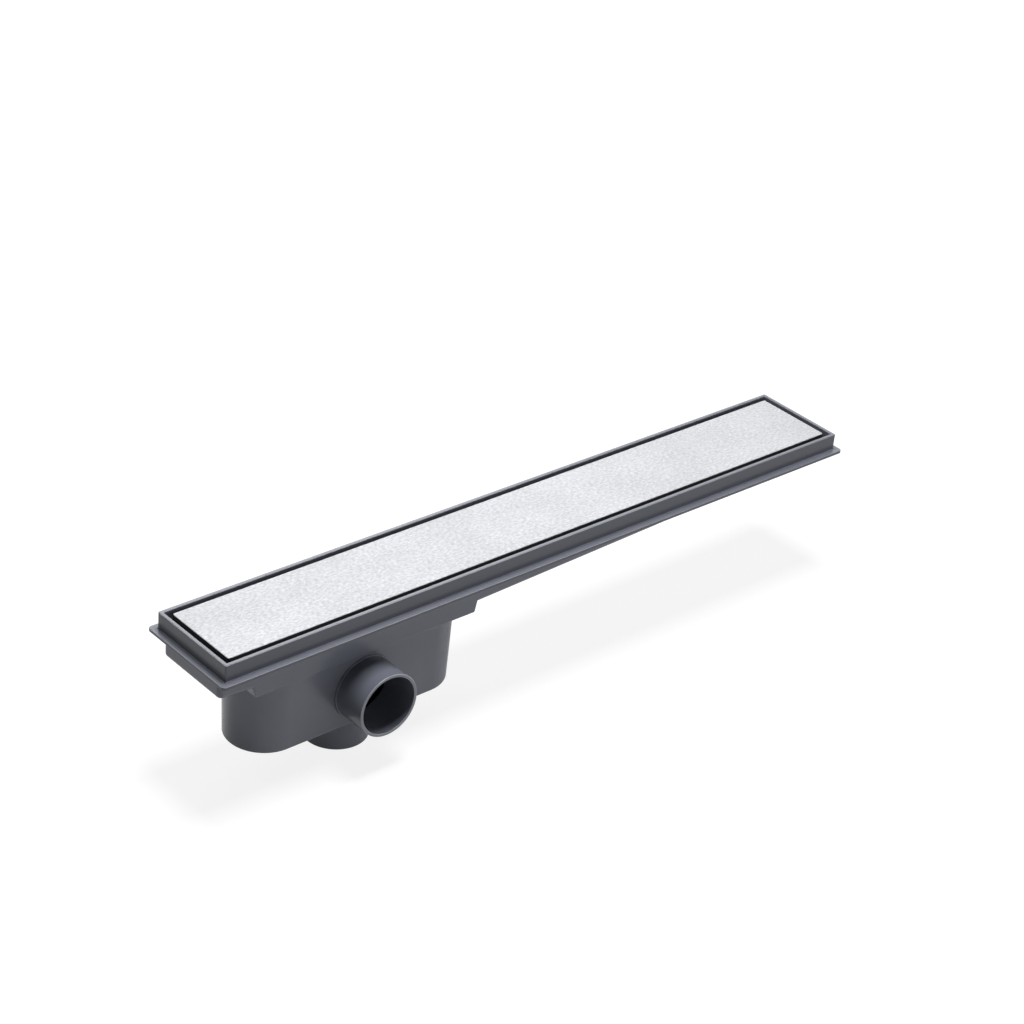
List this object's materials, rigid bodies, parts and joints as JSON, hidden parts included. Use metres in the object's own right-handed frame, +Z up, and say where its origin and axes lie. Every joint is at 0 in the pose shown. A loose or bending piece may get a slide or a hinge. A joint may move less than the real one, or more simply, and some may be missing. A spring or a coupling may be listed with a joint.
{
  "type": "linear shower drain",
  "caption": "Linear shower drain: moulded channel body with a deep trap sump, side and bottom pipe spigots, and a flush brushed stainless cover plate.",
  "frame": {"origin": "centre of the bottom outlet's mouth", "axes": "+X along the channel to its far end, -Y out of the side outlet, +Z up, out of the floor"},
  "size_m": [0.6, 0.1042, 0.126],
  "materials": {
    "body_plastic": "satin moulded, dark blue-grey",
    "cover_steel": "fine brushed, pale",
    "bearer_steel": "mill finish",
    "rubber": "matt black",
    "trap_plastic": "satin moulded, dark grey",
    "strainer_plastic": "satin moulded, light grey"
  },
  "bodies": {
    "root": {"drain_body": "body_plastic", "cover_plate": "cover_steel", "cover_bearer_1": "bearer_steel", "cover_bearer_2": "bearer_steel", "cover_bearer_3": "bearer_steel", "cover_bearer_4": "bearer_steel", "cover_bearer_5": "bearer_steel", "cover_pad_1": "rubber", "cover_pad_2": "rubber", "cover_pad_3": "rubber", "cover_pad_4": "rubber", "cover_pad_5": "rubber", "cover_pad_6": "rubber", "cover_pad_7": "rubber", "cover_pad_8": "rubber", "cover_pad_9": "rubber", "cover_pad_10": "rubber", "trap_plate": "trap_plastic", "trap_gasket": "rubber", "trap_cup": "trap_plastic", "hair_strainer": "strainer_plastic", "bottom_plug": "trap_plastic", "bottom_plug_seal": "rubber"}
  },
  "joints": []
}
